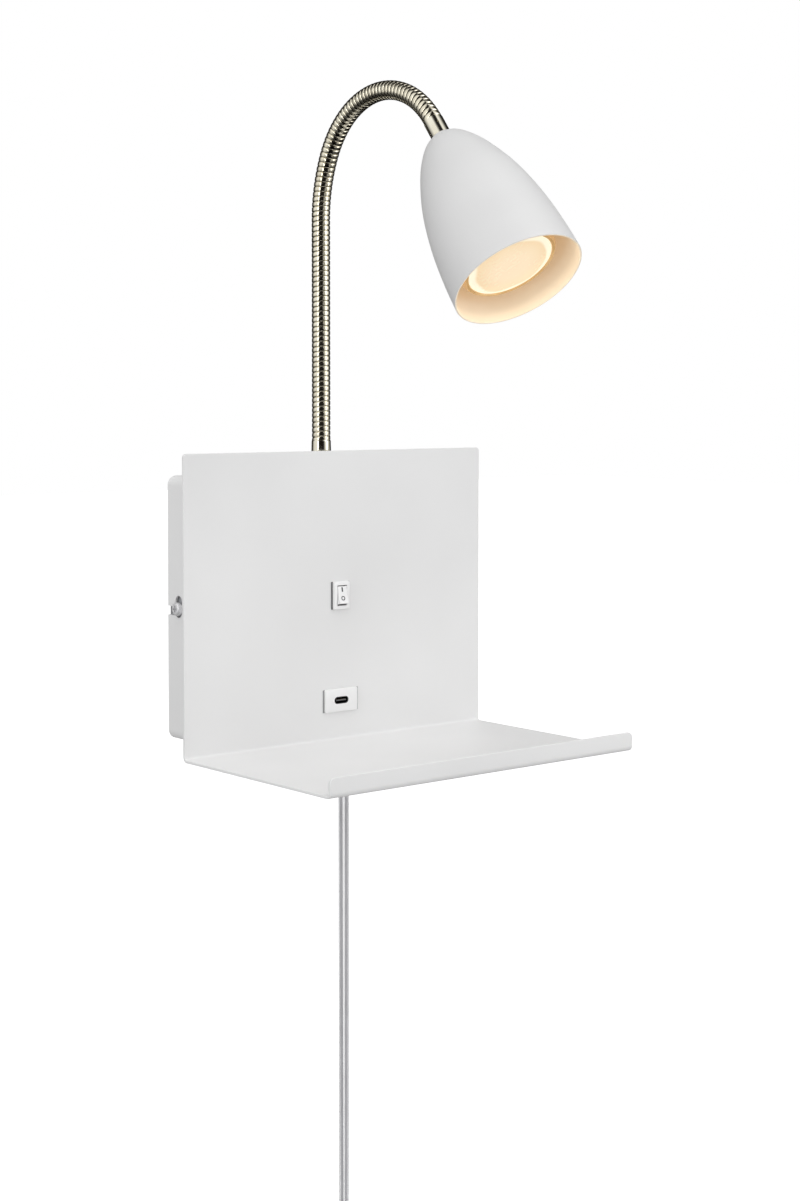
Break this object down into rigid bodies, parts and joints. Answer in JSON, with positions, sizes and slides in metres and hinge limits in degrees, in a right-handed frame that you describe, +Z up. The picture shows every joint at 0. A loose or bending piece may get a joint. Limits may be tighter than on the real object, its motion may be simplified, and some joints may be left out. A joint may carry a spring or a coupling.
{
  "type": "wall lamp with shelf",
  "caption": "Wall lamp: folded steel panel and shelf on a shallow back box, gooseneck with a bullet shade and twist-lock lamp, rocker switch, USB-C socket and mains cord with plug.",
  "frame": {"origin": "middle of the back box on the wall plane, on the back face of the wall bracket", "axes": "+X to the right, +Y into the wall, +Z up; the lamp faces -Y"},
  "size_m": [0.2, 0.1982, 0.7863],
  "materials": {
    "white_powder_coat": "matt fine-textured powder coat",
    "shade_paint": "satin white outside and inside",
    "zinc_steel": "zinc plated",
    "bright_screw": "bright zinc",
    "antique_nickel": "polished antique nickel",
    "nickel": "bright nickel",
    "contact_brass": "bright",
    "socket_metal": "dark, in shadow",
    "white_plastic": "smooth moulded",
    "dark_plastic": "moulded",
    "black_plastic": "moulded",
    "green_board": "solder-masked",
    "nylon": "natural nylon",
    "wire_insulation": "smooth",
    "clear_pvc": "clear, glossy",
    "plug_plastic": "moulded",
    "ceramic": "glazed ceramic",
    "lamp_glass_body": "frosted reflector body",
    "lamp_lens_glow": "warm, lit lens"
  },
  "bodies": {
    "base": {"wall_bracket": "zinc_steel", "side_screws": "bright_screw", "back_box": "white_powder_coat", "shelf_panel": "white_powder_coat", "panel_nuts": "zinc_steel", "switch_housing": "white_plastic", "switch_terminals": "contact_brass", "usb_bezel": "white_plastic", "usb_shell": "socket_metal", "usb_tongue": "dark_plastic", "charger_case": "black_plastic", "charger_board": "green_board", "terminal_block": "nylon", "terminal_screws": "bright_screw", "internal_wires": "wire_insulation", "cord_grip": "clear_pvc", "cord_tube": "clear_pvc", "cord_coil": "clear_pvc", "cord_tie": "black_plastic", "cord_tail": "clear_pvc", "plug_body": "plug_plastic", "plug_pins": "nickel", "plug_sleeves": "black_plastic", "neck_ferrule": "antique_nickel", "neck_washer": "zinc_steel", "neck_nut": "zinc_steel", "hose_link_0": "antique_nickel", "hose_cable_0": "wire_insulation"},
    "rocker": {"rocker_button": "white_plastic", "switch_plunger": "white_plastic"},
    "see_saw": {"switch_contact": "contact_brass"},
    "hose_1": {"hose_link_1": "antique_nickel", "hose_cable_1": "wire_insulation"},
    "hose_2": {"hose_link_2": "antique_nickel", "hose_cable_2": "wire_insulation"},
    "hose_3": {"hose_link_3": "antique_nickel", "hose_cable_3": "wire_insulation"},
    "hose_4": {"hose_link_4": "antique_nickel", "hose_cable_4": "wire_insulation"},
    "hose_5": {"hose_link_5": "antique_nickel", "hose_cable_5": "wire_insulation"},
    "hose_6": {"hose_link_6": "antique_nickel", "hose_cable_6": "wire_insulation"},
    "hose_7": {"hose_link_7": "antique_nickel", "hose_cable_7": "wire_insulation"},
    "head": {"hose_link_8": "antique_nickel", "hose_cable_8": "wire_insulation", "end_ferrule": "antique_nickel", "shade": "shade_paint", "shade_spacer": "zinc_steel", "shade_nut": "zinc_steel", "holder_bracket": "zinc_steel", "lamp_holder": "ceramic", "holder_contacts": "contact_brass", "holder_screws": "bright_screw", "lamp_wires": "wire_insulation"},
    "lamp": {"lamp_base": "ceramic", "lamp_pins": "nickel", "lamp_body": "lamp_glass_body", "lamp_lens": "lamp_lens_glow"}
  },
  "joints": [
    {"name": "neck_lean", "type": "hinge", "parent": "base", "child": "hose_1", "pos_m": [0, -0.015, 0.1004], "axis": [1, 0, 0], "range_deg": [-2, 17]},
    {"name": "neck_sway", "type": "hinge", "parent": "hose_1", "child": "hose_2", "pos_m": [0, -0.015, 0.13354], "axis": [0, -1, 0], "range_deg": [-18, 18]},
    {"name": "neck_lean_upper", "type": "hinge", "parent": "hose_2", "child": "hose_3", "pos_m": [0, -0.015, 0.16668], "axis": [1, 0, 0], "range_deg": [-2, 17]},
    {"name": "neck_sway_upper", "type": "hinge", "parent": "hose_3", "child": "hose_4", "pos_m": [0, -0.015, 0.19983], "axis": [0, -1, 0], "range_deg": [-18, 18]},
    {"name": "head_nod", "type": "hinge", "parent": "hose_4", "child": "hose_5", "pos_m": [0, -0.01974, 0.23242], "axis": [1, 0, 0], "range_deg": [-26, 8]},
    {"name": "head_turn", "type": "hinge", "parent": "hose_5", "child": "hose_6", "pos_m": [0, -0.03886, 0.25883], "axis": [0, -0.5822, -0.813], "range_deg": [-20, 20]},
    {"name": "head_nod_upper", "type": "hinge", "parent": "hose_6", "child": "hose_7", "pos_m": [0, -0.07002, 0.26824], "axis": [1, 0, 0], "range_deg": [-26, 8]},
    {"name": "head_turn_upper", "type": "hinge", "parent": "hose_7", "child": "head", "pos_m": [0, -0.10045, 0.25668], "axis": [0, 0.6374, -0.7705], "range_deg": [-20, 20]},
    {"name": "rocker_tip", "type": "hinge", "parent": "base", "child": "rocker", "pos_m": [0, -0.0327, 0.0032], "axis": [1, 0, 0], "range_deg": [0, 24]},
    {"name": "see_saw_tip", "type": "hinge", "parent": "base", "child": "see_saw", "pos_m": [0, -0.0257, 0.0032], "axis": [1, 0, 0], "range_deg": [-16, 0]},
    {"name": "lamp_twist", "type": "hinge", "parent": "head", "child": "lamp", "pos_m": [0, -0.10838, 0.24844], "axis": [0, -0.6074, -0.7944], "range_deg": [0, 20]}
  ],
  "couplings": [
    {"joint": "neck_lean_upper", "follows": "neck_lean", "ratio": 1},
    {"joint": "neck_sway_upper", "follows": "neck_sway", "ratio": 1},
    {"joint": "head_nod_upper", "follows": "head_nod", "ratio": 1},
    {"joint": "head_turn_upper", "follows": "head_turn", "ratio": 1},
    {"joint": "see_saw_tip", "follows": "rocker_tip", "ratio": -0.66667}
  ]
}
